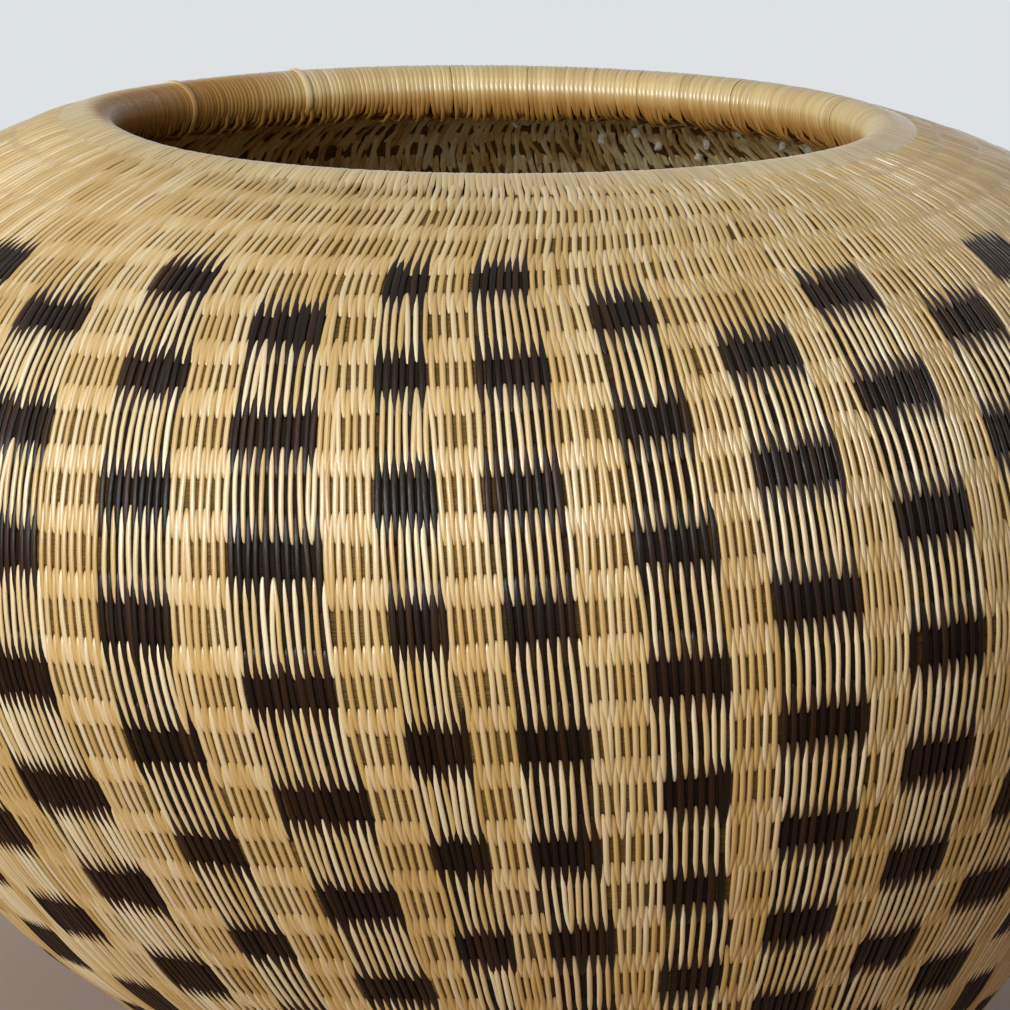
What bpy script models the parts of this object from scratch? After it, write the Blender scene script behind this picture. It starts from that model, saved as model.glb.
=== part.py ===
"""A globular coiled palm basket, built as its maker builds it.

One bundle of palm fibre is coiled from a start knot under the flat base, up the
wall and over the shoulder, and ends in a thin tail under the rim. The bundle is
spliced from lengths a little shorter than one turn, and each length is a piece
here, at its sewn size. A thicker rim bundle closes the mouth, and lengths of
binding strand are wound round it.

Metres, +Z up. The origin is the middle of the base's underside. Angles start at
the front (-Y) and run towards +X, the way the coil climbs.
"""

import math

import bmesh
import bpy
import numpy as np

MM = 0.001

# Body, measured on its outer face
belly_radius = 175.0 * MM
belly_height = 138.0 * MM
crown_rise = 106.5 * MM
crown_power = 2.53
base_radius = 73.0 * MM
keel_power = 1.48
base_edge_blend = 16.0 * MM

# Wall and coil
wall_thickness = 8.0 * MM
row_relief = 0.7 * MM
front_row_rise = 16.1 * MM
shoulder_first_row_share = 1.105
knot_radius = 11.8 * MM
knot_edge = 0.8 * MM
tail_height = 0.9 * MM
seam_gap = 0.3 * MM

# Rim
rim_radius = 93.6 * MM
rim_roll_radius = 6.0 * MM
binding_thickness = 1.3 * MM
rim_seat_gap = 0.6 * MM
rim_square_end = 1.2 * MM
weld_distance = 0.03 * MM
binding_splice_shares = (0.056, 0.181, 0.314, 0.385, 0.579, 0.641, 0.833)

# How the hand-made body leans and tips
lower_lean = -0.137
upper_lean = -0.068
lean_turn = 21.0 * MM
row_tip = math.radians(1.48)
rim_tip = math.radians(-0.42)
settle_height = 50.0 * MM
mouth_shift_x = 6.7 * MM
mouth_shift_y = -5.2 * MM
mouth_blend_arc = 45.0 * MM

# Counts and angles
turns_on_base = 3
turns_below_belly = 17
turns_above_belly = 8.55
facets_per_turn = 36
facets_per_length = 34
rim_side_steps = 4
rim_facet = math.radians(10.0)
sharp_edge = math.radians(35.0)
profile_steps = 400
base_steps = 50

# Finishes: colour and roughness
STRAW = ((0.62, 0.44, 0.20, 1.0), 0.45)
RIM_STRAW = ((0.60, 0.43, 0.22, 1.0), 0.35)
FIBRE = ((0.30, 0.20, 0.09, 1.0), 0.8)


def smoothstep(value):
    """Rises from 0 to 1 as value does, with level ends."""
    value = np.clip(value, 0.0, 1.0)
    return value * value * (3.0 - 2.0 * value)


def superellipse(width, height, power):
    """Points of a quarter superellipse, from its widest point to its pole."""
    turn = np.linspace(0.0, math.pi / 2, profile_steps)
    return width * np.cos(turn) ** (2 / power), height * np.sin(turn) ** (2 / power)


def make_profile():
    """The outer face's section, from the base's middle out and up to the crown's pole.

    Gives its running length, radius and height, and the index of its belly point.
    The keel's curve would meet the floor at the base radius, and is blended there.
    """
    floor_share = (1 - (base_radius / belly_radius) ** keel_power) ** (1 / keel_power)
    keel_r, keel_z = superellipse(belly_radius, belly_height / floor_share, keel_power)
    above = keel_z < belly_height
    wall_r = np.append(keel_r[above], base_radius)[::-1]
    wall_z = np.append(belly_height - keel_z[above], 0.0)[::-1]
    climbed = np.append(0.0, np.cumsum(np.hypot(np.diff(wall_r), np.diff(wall_z))))
    end_r = np.interp(base_edge_blend, climbed, wall_r)
    end_z = np.interp(base_edge_blend, climbed, wall_z)
    share = np.linspace(0.0, 1.0, base_steps)
    blend_r = (1 - share) ** 2 * flat_radius + 2 * share * (1 - share) * base_radius
    blend_r = blend_r + share**2 * end_r
    blend_z = share**2 * end_z
    flat_r = np.linspace(0.0, flat_radius, base_steps)[:-1]
    past = climbed > base_edge_blend
    crown_r, crown_z = superellipse(belly_radius, crown_rise, crown_power)
    radius = np.concatenate([flat_r, blend_r, wall_r[past], crown_r[1:]])
    height = np.concatenate(
        [np.zeros_like(flat_r), blend_z, wall_z[past], belly_height + crown_z[1:]]
    )
    length = np.append(0.0, np.cumsum(np.hypot(np.diff(radius), np.diff(height))))
    return length, radius, height, len(radius) - len(crown_r)


flat_radius = base_radius - base_edge_blend
profile_length, profile_radius, profile_height, belly_index = make_profile()
belly_arc = profile_length[belly_index]
slope_r = np.gradient(profile_radius, profile_length)
slope_z = np.gradient(profile_height, profile_length)


def rim_seat():
    """Height of the rim roll's centre line, whose outside carries on the crown's face."""
    inner_r = (profile_radius - rim_roll_radius * slope_z)[belly_index:]
    inner_z = (profile_height + rim_roll_radius * slope_r)[belly_index:]
    return np.interp(rim_radius, inner_r[::-1], inner_z[::-1])


def rim_arc():
    """Running length at which the topmost row ends square against the rim roll."""
    to_rim = (rim_radius - profile_radius) * slope_r + (rim_height - profile_height) * slope_z
    spare = (to_rim - rim_roll_radius - rim_seat_gap)[belly_index:]
    return np.interp(0.0, spare[::-1], profile_length[belly_index:][::-1])


rim_height = rim_seat()
top_arc = rim_arc()

# The rows are even from the knot to the belly. Over the shoulder they start wider than
# its mean row by the first row's share, and end as much narrower at the rim.
row_pitch = (belly_arc + front_row_rise - knot_radius) / turns_below_belly
shoulder_run = top_arc - belly_arc - front_row_rise
rim_row_pitch = shoulder_run / turns_above_belly * (2 - shoulder_first_row_share)


def lean_at(height):
    """Sideways offset of the body's axis at a height, nought at the floor."""

    def bent(rise):
        turn = math.sqrt(rise * rise + lean_turn * lean_turn) - lean_turn
        return (upper_lean - lower_lean) / 2 * turn + (upper_lean + lower_lean) / 2 * rise

    return bent(height - belly_height) - bent(-belly_height)


def hand_shape(x, y, z, near_mouth):
    """Moves a point of the true round body to where the leaning body has it."""
    settle = smoothstep((z - wall_thickness) / (settle_height - wall_thickness))
    tip = row_tip + (rim_tip - row_tip) * near_mouth
    return (
        x + lean_at(z) * settle + mouth_shift_x * near_mouth,
        y + mouth_shift_y * near_mouth,
        z + x * math.tan(tip) * settle,
    )


def wall_point(angle, arc, depth):
    """A point of the wall, from its angle, running length and depth under the face."""
    radius = np.interp(arc, profile_length, profile_radius)
    height = np.interp(arc, profile_length, profile_height)
    run_r = np.interp(arc, profile_length, slope_r)
    run_z = np.interp(arc, profile_length, slope_z)
    radius = radius - depth * run_z
    height = height + depth * run_r
    near_mouth = smoothstep(1 - (top_arc - arc) / mouth_blend_arc)
    return hand_shape(radius * math.sin(angle), -radius * math.cos(angle), height, near_mouth)


def row_edge(turns):
    """Running length of the coil's upper edge after that many turns from the front."""
    above = turns - turns_below_belly
    share = np.maximum(above, 0.0) / turns_above_belly
    climb = share * (shoulder_first_row_share + (1 - shoulder_first_row_share) * share)
    wall_rise = row_pitch * np.minimum(above, 0.0)
    return belly_arc + front_row_rise + wall_rise + shoulder_run * climb


def band_at(station):
    """The coil's lower and upper edge at a facet station, between knot and rim."""
    turns = station / facets_per_turn
    low = np.clip(row_edge(turns - 1), knot_radius, top_arc)
    high = np.clip(row_edge(turns), knot_radius, top_arc)
    return low + seam_gap / 2, high - seam_gap / 2


def coil_stations():
    """First and last station at which the tapered coil is still a tail high."""
    tail = tail_height + seam_gap
    all_turns = turns_below_belly + turns_above_belly + 1
    first = math.ceil(facets_per_turn * tail / row_pitch)
    return first, math.floor(facets_per_turn * (all_turns - tail / rim_row_pitch))


def coil_section(station, angle, flat):
    """Section of the coil at a station: crowned to the outside, or flat on the floor."""
    low, high = band_at(station)
    middle = (low + high) / 2
    inner = [
        (high, wall_thickness - row_relief),
        (middle, wall_thickness),
        (low, wall_thickness - row_relief),
    ]
    if flat:
        outer = [(low, 0.0), (high, 0.0)]
    else:
        outer = [(low, row_relief), (middle, 0.0), (high, row_relief)]
    return [wall_point(angle, arc, depth) for arc, depth in outer + inner]


def make_material(name, finish):
    """A plain material in one of the finishes above."""
    color, roughness = finish
    material = bpy.data.materials.new(name)
    material.use_nodes = True
    shader = material.node_tree.nodes["Principled BSDF"]
    shader.inputs["Base Color"].default_value = color
    shader.inputs["Roughness"].default_value = roughness
    shader.inputs["Metallic"].default_value = 0.0
    material.diffuse_color = color
    return material


def add_object(name, mesh, material, collection):
    """A shaded object for a finished mesh, in the basket's collection."""
    part = bpy.data.objects.new(name, mesh)
    part.data.materials.append(material)
    part.data.shade_smooth()
    part.data.set_sharp_from_angle(angle=sharp_edge)
    collection.objects.link(part)
    return part


def coil_length(name, first, last, material, collection):
    """One spliced length of the coil, from a first to a last station.

    Its sections differ all the way, so it is lofted. Half a seam's gap is left at
    each end, where the next length is spliced on.
    """
    flat = band_at(last)[1] < flat_radius
    form = bmesh.new()
    rings = []
    for station in range(first, last + 1):
        angle = 2 * math.pi * station / facets_per_turn
        radius = np.interp(sum(band_at(station)) / 2, profile_length, profile_radius)
        trim = seam_gap / 2 / radius
        if station == first:
            angle += trim
        if station == last:
            angle -= trim
        rings.append([form.verts.new(point) for point in coil_section(station, angle, flat)])
    sides = len(rings[0])
    for ring, after in zip(rings, rings[1:]):
        for side in range(sides):
            other = (side + 1) % sides
            form.faces.new((ring[side], ring[other], after[other], after[side]))
    form.faces.new(rings[0][::-1])
    form.faces.new(rings[-1])
    bmesh.ops.recalc_face_normals(form, faces=form.faces)
    mesh = bpy.data.meshes.new(name)
    form.to_mesh(mesh)
    form.free()
    return add_object(name, mesh, material, collection)


def start_knot(material, collection):
    """The tight knot from which the coil starts, flat under the base."""
    form = bmesh.new()
    radius = knot_radius - seam_gap / 2
    bmesh.ops.create_cone(
        form,
        cap_ends=True,
        segments=facets_per_turn,
        radius1=radius,
        radius2=radius,
        depth=wall_thickness,
    )
    bmesh.ops.translate(form, verts=form.verts, vec=(0.0, 0.0, wall_thickness / 2))
    upper = [edge for edge in form.edges if all(v.co.z > wall_thickness / 2 for v in edge.verts)]
    bmesh.ops.bevel(form, geom=upper, offset=knot_edge, segments=1, affect="EDGES")
    mesh = bpy.data.meshes.new("start_knot")
    form.to_mesh(mesh)
    form.free()
    return add_object("start_knot", mesh, material, collection)


def rim_point(angle):
    """A point of the rim roll's centre line."""
    return hand_shape(rim_radius * math.sin(angle), -rim_radius * math.cos(angle), rim_height, 1.0)


def rim_angles(first, last):
    """Stations from one splice of the binding to the next, about a rim facet apart."""
    steps = max(1, round((last - first) / rim_facet))
    return [first + (last - first) * step / steps for step in range(steps + 1)]


def rim_tube(name, angles, radius, capped, material, collection):
    """A round tube along the rim, as a mesh, trimmed by half a seam's gap at its ends."""
    curve = bpy.data.curves.new(name, "CURVE")
    curve.dimensions = "3D"
    curve.twist_mode = "Z_UP"
    curve.bevel_depth = radius
    curve.bevel_resolution = rim_side_steps
    curve.use_fill_caps = capped
    start = angles[0] + seam_gap / 2 / rim_radius
    stop = angles[-1] - seam_gap / 2 / rim_radius
    square = rim_square_end / rim_radius
    trimmed = [start, start + square, *angles[1:-1], stop - square, stop]
    spline = curve.splines.new("POLY")
    spline.points.add(len(trimmed) - 1)
    for point, angle in zip(spline.points, trimmed):
        point.co = (*rim_point(angle), 1.0)
    guide = bpy.data.objects.new(name + "_guide", curve)
    collection.objects.link(guide)
    bpy.context.view_layer.update()
    graph = bpy.context.evaluated_depsgraph_get()
    mesh = bpy.data.meshes.new_from_object(guide.evaluated_get(graph))
    bpy.data.objects.remove(guide)
    form = bmesh.new()
    form.from_mesh(mesh)
    bmesh.ops.remove_doubles(form, verts=form.verts, dist=weld_distance)
    bmesh.ops.recalc_face_normals(form, faces=form.faces)
    form.to_mesh(mesh)
    form.free()
    mesh.name = name
    mesh.materials.clear()
    return add_object(name, mesh, material, collection)


def rim_binding(name, first, last, material, collection):
    """One length of binding strand round the rim bundle: a hollow sleeve, open at its ends."""
    sleeve = rim_tube(name, rim_angles(first, last), rim_roll_radius, False, material, collection)
    shell = sleeve.modifiers.new("strand", "SOLIDIFY")
    shell.thickness = binding_thickness
    shell.offset = -1.0
    return sleeve


def zone_of(first, last):
    """Which part of the basket a length of the coil lies in."""
    turns = (first + last) / 2 / facets_per_turn
    if turns < turns_on_base:
        return "base"
    return "wall" if turns < turns_below_belly else "shoulder"


def main():
    for old in list(bpy.data.objects):
        bpy.data.objects.remove(old)
    basket = bpy.data.collections.new("palm_basket")
    bpy.context.scene.collection.children.link(basket)

    start_knot(make_material("start_knot", STRAW), basket)

    first, end = coil_stations()
    numbers = {"base": 0, "wall": 0, "shoulder": 0}
    while first < end:
        last = min(first + facets_per_length, end)
        zone = zone_of(first, last)
        numbers[zone] += 1
        name = f"{zone}_coil_{numbers[zone]:02d}"
        coil_length(name, first, last, make_material(name, STRAW), basket)
        first = last

    splices = [2 * math.pi * share for share in binding_splice_shares]
    spans = list(zip(splices, splices[1:] + [splices[0] + 2 * math.pi]))
    whole = [angle for span in spans for angle in rim_angles(*span)[:-1]]
    whole.append(spans[-1][1])
    core_radius = rim_roll_radius - binding_thickness - seam_gap
    rim_tube("rim_bundle", whole, core_radius, True, make_material("rim_bundle", FIBRE), basket)
    for number, (start, stop) in enumerate(spans, 1):
        name = f"rim_binding_{number}"
        rim_binding(name, start, stop, make_material(name, RIM_STRAW), basket)


if __name__ == "__main__":
    main()
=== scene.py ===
"""The looks of a coiled palm basket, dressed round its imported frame.

Every length of the coil is shown as what it is: a bundle of brown palm fibre, the
split strands that sew it to the row below, some of them dyed black in a checker of
columns, and the same strands where they cross the inner face. The rim is a bundle
wound closely with strand. All of it follows the same leaning body as the frame.

Metres, +Z up, front at -Y. Angles start at the front and run towards +X. Turns of the
coil count from the front of the start knot.
"""

import logging
import math
from collections.abc import Mapping, Sequence
from dataclasses import dataclass, field
from enum import Enum
from functools import cached_property

import bpy
import numpy as np
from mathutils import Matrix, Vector


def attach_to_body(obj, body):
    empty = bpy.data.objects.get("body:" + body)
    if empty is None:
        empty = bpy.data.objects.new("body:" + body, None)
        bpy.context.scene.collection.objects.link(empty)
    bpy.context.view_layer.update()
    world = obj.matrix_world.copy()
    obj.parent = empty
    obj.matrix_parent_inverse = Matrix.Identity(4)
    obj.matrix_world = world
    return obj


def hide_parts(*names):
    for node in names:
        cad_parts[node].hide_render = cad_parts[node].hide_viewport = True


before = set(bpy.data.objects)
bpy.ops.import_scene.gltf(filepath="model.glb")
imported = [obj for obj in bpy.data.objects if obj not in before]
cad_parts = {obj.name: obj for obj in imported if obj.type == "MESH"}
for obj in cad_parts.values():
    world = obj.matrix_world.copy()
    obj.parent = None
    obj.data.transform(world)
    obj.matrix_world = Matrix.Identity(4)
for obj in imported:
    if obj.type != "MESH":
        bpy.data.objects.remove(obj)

Array = np.ndarray
Floats = tuple[float, ...]
Colour = tuple[float, float, float]
Stops = tuple[tuple[float, Colour], ...]

MM = 0.001
FULL_TURN = 2 * math.pi
SHARP_EDGE = math.radians(62.0)
BUMP_STRENGTH = 0.8
LOG = logging.getLogger("palm_basket")


class Slot(Enum):
    """Material slots of the record."""

    SEWN = "sewn_palm"
    DYED = "dyed_palm"
    RIM = "rim_strand"
    BUNDLE = "palm_bundle"


class Face(Enum):
    """The two faces of the coiled wall."""

    OUTER = "outer"
    INNER = "inner"


def smoothstep(value: Array | float) -> Array:
    """Rise from 0 to 1 as a value does, with level ends.

    Args:
        value: One number or an array of them.

    Returns:
        The eased values.
    """
    value = np.clip(value, 0.0, 1.0)
    return value * value * (3.0 - 2.0 * value)


def unit(vectors: Array) -> Array:
    """Bring vectors to length 1."""
    return vectors / np.linalg.norm(vectors, axis=-1, keepdims=True)


def mirrored(half: Sequence[float], sign: float = 1.0) -> Array:
    """Mirror values that run from a middle to an end, the mirrored ones times a sign."""
    end = np.array(half)
    return np.concatenate([sign * end[:0:-1], end])


def show(name: str, data: bpy.types.ID) -> bpy.types.Object:
    """Put a new object into the scene.

    Args:
        name: Its name.
        data: What it shows.

    Returns:
        The object.
    """
    made = bpy.data.objects.new(name, data)
    bpy.context.scene.collection.objects.link(made)
    return made


@dataclass(frozen=True)
class BodyForm:
    """The basket's hand-made body: its section, its coil's rows and its lean."""

    belly_radius: float = 175.0 * MM
    belly_height: float = 138.0 * MM
    crown_rise: float = 106.5 * MM
    crown_power: float = 2.53
    base_radius: float = 73.0 * MM
    keel_power: float = 1.48
    base_edge_blend: float = 16.0 * MM
    wall_thickness: float = 8.0 * MM
    front_row_rise: float = 16.1 * MM
    shoulder_first_row_share: float = 1.105
    knot_radius: float = 11.8 * MM
    rim_radius: float = 93.6 * MM
    rim_roll_radius: float = 6.0 * MM
    rim_seat_gap: float = 0.6 * MM
    lower_lean: float = -0.137
    upper_lean: float = -0.068
    lean_turn: float = 21.0 * MM
    row_tip: float = math.radians(1.48)
    rim_tip: float = math.radians(-0.42)
    settle_height: float = 50.0 * MM
    mouth_shift_x: float = 6.7 * MM
    mouth_shift_y: float = -5.2 * MM
    mouth_blend_arc: float = 45.0 * MM
    mouth_lift: float = 2.3 * MM
    mouth_lift_angle: float = math.radians(275.0)
    mouth_lift_narrowness: float = 15.0
    turns_below_belly: int = 17
    turns_above_belly: float = 8.55
    row_waver: float = 0.3 * MM
    row_waver_rates: tuple[float, float] = (3.37, 7.81)
    row_waver_offset: float = 1.0
    profile_steps: int = 400
    base_steps: int = 50

    def superellipse(self, width: float, height: float, power: float) -> tuple[Array, Array]:
        """Trace a quarter superellipse from its widest point to its pole.

        Args:
            width: Its half width.
            height: Its half height.
            power: Its exponent.

        Returns:
            The points' distances across and along the axis.
        """
        turn = np.linspace(0.0, math.pi / 2, self.profile_steps)
        return width * np.cos(turn) ** (2 / power), height * np.sin(turn) ** (2 / power)

    @cached_property
    def profile(self) -> tuple[Array, Array, Array, int]:
        """The outer face's running length, radius and height, and its belly's index."""
        floor_share = (1 - (self.base_radius / self.belly_radius) ** self.keel_power) ** (
            1 / self.keel_power
        )
        keel_r, keel_z = self.superellipse(
            self.belly_radius, self.belly_height / floor_share, self.keel_power
        )
        above = keel_z < self.belly_height
        wall_r = np.append(keel_r[above], self.base_radius)[::-1]
        wall_z = np.append(self.belly_height - keel_z[above], 0.0)[::-1]
        climbed = np.append(0.0, np.cumsum(np.hypot(np.diff(wall_r), np.diff(wall_z))))
        end_r = np.interp(self.base_edge_blend, climbed, wall_r)
        end_z = np.interp(self.base_edge_blend, climbed, wall_z)
        flat_radius = self.base_radius - self.base_edge_blend
        share = np.linspace(0.0, 1.0, self.base_steps)
        blend_r = (1 - share) ** 2 * flat_radius + 2 * share * (1 - share) * self.base_radius
        blend_r = blend_r + share**2 * end_r
        flat_r = np.linspace(0.0, flat_radius, self.base_steps)[:-1]
        past = climbed > self.base_edge_blend
        crown_r, crown_z = self.superellipse(
            self.belly_radius, self.crown_rise, self.crown_power
        )
        radius = np.concatenate([flat_r, blend_r, wall_r[past], crown_r[1:]])
        height = np.concatenate(
            [
                np.zeros_like(flat_r),
                share**2 * end_z,
                wall_z[past],
                self.belly_height + crown_z[1:],
            ]
        )
        steps = np.hypot(np.diff(radius), np.diff(height))
        length = np.append(0.0, np.cumsum(steps))
        return length, radius, height, len(radius) - len(crown_r)

    @cached_property
    def slopes(self) -> tuple[Array, Array]:
        """How fast the section's radius and height grow along it."""
        length, radius, height, _ = self.profile
        return np.gradient(radius, length), np.gradient(height, length)

    def on_crown(self, goal: float, falling: Array, values: Array) -> float:
        """Find where one measure of the section comes down to a goal above the belly.

        Args:
            goal: What it comes down to.
            falling: That measure along the section.
            values: The measure to read there.

        Returns:
            The value read.
        """
        crown = slice(self.profile[3], None)
        return float(np.interp(goal, falling[crown][::-1], values[crown][::-1]))

    @cached_property
    def roll_reach(self) -> tuple[Array, Array]:
        """Radius and height of points one roll radius under the outer face."""
        _, radius, height, _ = self.profile
        slope_r, slope_z = self.slopes
        return radius - self.rim_roll_radius * slope_z, height + self.rim_roll_radius * slope_r

    @cached_property
    def rim_height(self) -> float:
        """Height of the rim roll's centre line, before the body tips."""
        return self.on_crown(self.rim_radius, *self.roll_reach)

    @cached_property
    def rim_touch_arc(self) -> float:
        """Running length at which the roll's outside meets the crown's face."""
        return self.on_crown(self.rim_radius, self.roll_reach[0], self.profile[0])

    @cached_property
    def top_arc(self) -> float:
        """Running length at which the topmost row ends against the roll."""
        length, radius, height, _ = self.profile
        slope_r, slope_z = self.slopes
        to_rim = (self.rim_radius - radius) * slope_r + (self.rim_height - height) * slope_z
        return self.on_crown(0.0, to_rim - self.rim_roll_radius - self.rim_seat_gap, length)

    @cached_property
    def belly_arc(self) -> float:
        """Running length at the belly."""
        length, _, _, belly = self.profile
        return float(length[belly])

    @property
    def last_turn(self) -> float:
        """Turns after which the coil has run out under the rim."""
        return self.turns_below_belly + self.turns_above_belly + 1

    def row_edge(self, turns: Array) -> Array:
        """Running length of the coil's upper edge.

        Args:
            turns: Turns of the coil.

        Returns:
            Running lengths along the section, before the knot and the rim trim them.
        """
        wall_pitch = (self.belly_arc + self.front_row_rise - self.knot_radius) / (
            self.turns_below_belly
        )
        shoulder_run = self.top_arc - self.belly_arc - self.front_row_rise
        above = turns - self.turns_below_belly
        share = np.maximum(above, 0.0) / self.turns_above_belly
        first = self.shoulder_first_row_share
        climb = shoulder_run * share * (first + (1 - first) * share)
        wall_rise = wall_pitch * np.minimum(above, 0.0)
        slow, fast = (FULL_TURN * rate * turns for rate in self.row_waver_rates)
        waver = np.sin(slow) + np.sin(fast + self.row_waver_offset)
        return self.belly_arc + self.front_row_rise + wall_rise + climb + self.row_waver * waver

    def band(self, turns: Array) -> tuple[Array, Array]:
        """Lower and upper edge of the coil after some turns.

        Args:
            turns: Turns of the coil.

        Returns:
            Both edges as running lengths.
        """
        low = np.clip(self.row_edge(turns - 1), self.knot_radius, self.top_arc)
        high = np.clip(self.row_edge(turns), self.knot_radius, self.top_arc)
        return low, high

    def radius_at(self, arc: Array) -> Array:
        """Radius of the outer face at a running length."""
        length, radius, _, _ = self.profile
        return np.interp(arc, length, radius)

    def lean_at(self, height: Array) -> Array:
        """Sideways offset of the body's axis at a height.

        Args:
            height: Heights over the floor.

        Returns:
            Offsets along X, nought at the floor.
        """
        mean = (self.upper_lean + self.lower_lean) / 2
        change = (self.upper_lean - self.lower_lean) / 2

        def bent(rise: Array | float) -> Array:
            """Two straight leans, joined by a bend at the belly."""
            turn = np.sqrt(rise * rise + self.lean_turn**2) - self.lean_turn
            return change * turn + mean * rise

        return bent(height - self.belly_height) - bent(-self.belly_height)

    def hand_shape(self, angle: Array, radius: Array, height: Array, near_mouth: Array) -> Array:
        """Place points of the true round body on the leaning one.

        Args:
            angle: Angles round the axis.
            radius: Distances from the axis.
            height: Heights over the floor.
            near_mouth: 1 at the mouth, falling to 0 below the shoulder.

        Returns:
            Points, with a last axis of three.
        """
        x = radius * np.sin(angle)
        y = -radius * np.cos(angle)
        spread = self.settle_height - self.wall_thickness
        settle = smoothstep((height - self.wall_thickness) / spread)
        tip = self.row_tip + (self.rim_tip - self.row_tip) * near_mouth
        beside = (1 + np.cos(angle - self.mouth_lift_angle)) / 2
        lift = self.mouth_lift * beside**self.mouth_lift_narrowness * near_mouth
        return np.stack(
            [
                x + self.lean_at(height) * settle + self.mouth_shift_x * near_mouth,
                y + self.mouth_shift_y * near_mouth,
                height + x * np.tan(tip) * settle + lift,
            ],
            axis=-1,
        )

    @staticmethod
    def outward(angle: Array, out_r: Array, out_z: Array) -> Array:
        """Turn a direction in the section to its place round the axis."""
        return np.stack([out_r * np.sin(angle), -out_r * np.cos(angle), out_z], axis=-1)

    def face(self, angle: Array, arc: Array, depth: Array) -> tuple[Array, Array]:
        """Find points under the outer face and which way is out there.

        Args:
            angle: Angles round the axis.
            arc: Running lengths along the section.
            depth: Depths under the outer face.

        Returns:
            The points and their outward directions.
        """
        angle, arc, depth = np.broadcast_arrays(angle, arc, depth)
        length, radius, height, _ = self.profile
        slope_r, slope_z = self.slopes
        out_r = np.interp(arc, length, slope_z)
        out_z = -np.interp(arc, length, slope_r)
        r = np.interp(arc, length, radius) - depth * out_r
        z = np.interp(arc, length, height) - depth * out_z
        near_mouth = smoothstep(1 - (self.top_arc - arc) / self.mouth_blend_arc)
        return self.hand_shape(angle, r, z, near_mouth), self.outward(angle, out_r, out_z)

    def roll(self, angle: Array, wrap: Array, radius: Array | float) -> tuple[Array, Array]:
        """Find points round the rim roll.

        Args:
            angle: Angles round the axis.
            wrap: Angles round the roll, from straight out, up and over to the inside.
            radius: Distances from the roll's centre line.

        Returns:
            The points and their outward directions.
        """
        angle, wrap, radius = np.broadcast_arrays(angle, wrap, radius)
        out_r = np.cos(wrap)
        out_z = np.sin(wrap)
        r = self.rim_radius + radius * out_r
        z = self.rim_height + radius * out_z
        point = self.hand_shape(angle, r, z, np.ones_like(angle))
        return point, self.outward(angle, out_r, out_z)

    @cached_property
    def roll_touch(self) -> float:
        """Angle round the roll at which it meets the crown's face."""
        length = self.profile[0]
        slope_r, slope_z = self.slopes
        return math.atan2(
            -float(np.interp(self.rim_touch_arc, length, slope_r)),
            float(np.interp(self.rim_touch_arc, length, slope_z)),
        )


@dataclass(frozen=True)
class Column:
    """A column of the checker.

    Its middle and width are in degrees, its dark rows are the odd or the even ones,
    and its spread says how widely its stitches are set, against their mean spacing.
    """

    middle: float
    width: float
    odd_rows: bool
    spread: float


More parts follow.
